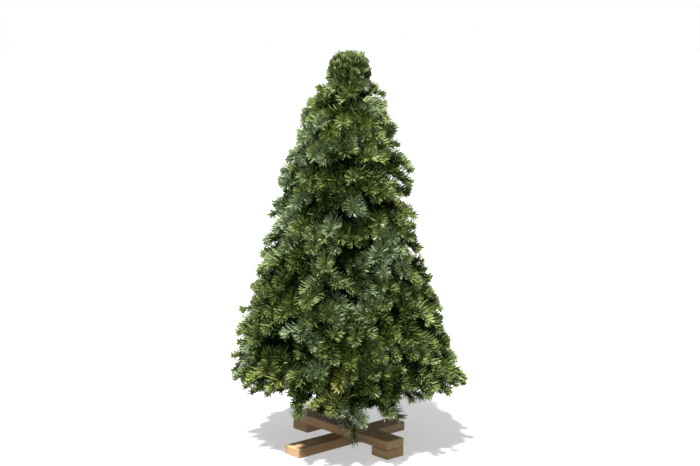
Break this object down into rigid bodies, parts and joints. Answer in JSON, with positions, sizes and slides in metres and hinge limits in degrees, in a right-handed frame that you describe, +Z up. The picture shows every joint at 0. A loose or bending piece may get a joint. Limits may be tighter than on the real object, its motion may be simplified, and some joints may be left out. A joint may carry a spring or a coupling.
{
  "type": "small cut christmas tree on a stand",
  "caption": "Dense cone of cut noble fir foliage on a tapering trunk, with drooping boughs in whorls and a blunt top, standing on a plain crossed-board wooden stand.",
  "frame": {"origin": "middle of the stand's flat underside, on the floor", "axes": "+Z up along the trunk; -Y is the side first seen; +X to the right of it"},
  "size_m": [0.5635, 0.5657, 0.9493],
  "materials": {
    "bark": "grey-brown fir bark, smooth with small resin blisters and rings of scars",
    "bough_bark": "thin brown twig bark",
    "foliage": "matt to satin needles, deep green to blue-grey, with some olive tips",
    "stand_wood": "bare sawn softwood, eased edges"
  },
  "bodies": {
    "root": {"bough_1_1": "bough_bark", "bough_1_2": "bough_bark", "bough_1_3": "bough_bark", "bough_1_4": "bough_bark", "bough_1_5": "bough_bark", "bough_2_1": "bough_bark", "bough_2_2": "bough_bark", "bough_2_3": "bough_bark", "bough_2_4": "bough_bark", "bough_2_5": "bough_bark", "bough_3_1": "bough_bark", "bough_3_2": "bough_bark", "bough_3_3": "bough_bark", "bough_3_4": "bough_bark", "bough_4_1": "bough_bark", "bough_4_2": "bough_bark", "bough_4_3": "bough_bark", "bough_4_4": "bough_bark", "bough_5_1": "bough_bark", "bough_5_2": "bough_bark", "bough_5_3": "bough_bark", "bough_6_1": "bough_bark", "bough_6_2": "bough_bark", "bough_6_3": "bough_bark", "bough_hanging_front": "bough_bark", "bough_hanging_right": "bough_bark", "foliage_1_1": "foliage", "foliage_1_2": "foliage", "foliage_1_3": "foliage", "foliage_1_4": "foliage", "foliage_1_5": "foliage", "foliage_2_1": "foliage", "foliage_2_2": "foliage", "foliage_2_3": "foliage", "foliage_2_4": "foliage", "foliage_2_5": "foliage", "foliage_3_1": "foliage", "foliage_3_2": "foliage", "foliage_3_3": "foliage", "foliage_3_4": "foliage", "foliage_4_1": "foliage", "foliage_4_2": "foliage", "foliage_4_3": "foliage", "foliage_4_4": "foliage", "foliage_5_1": "foliage", "foliage_5_2": "foliage", "foliage_5_3": "foliage", "foliage_6_1": "foliage", "foliage_6_2": "foliage", "foliage_6_3": "foliage", "foliage_hanging_front": "foliage", "foliage_hanging_right": "foliage", "foliage_top": "foliage", "stand_back_block": "stand_wood", "stand_front_block": "stand_wood", "stand_lower_board": "stand_wood", "stand_upper_board": "stand_wood", "trunk": "bark"}
  },
  "joints": []
}
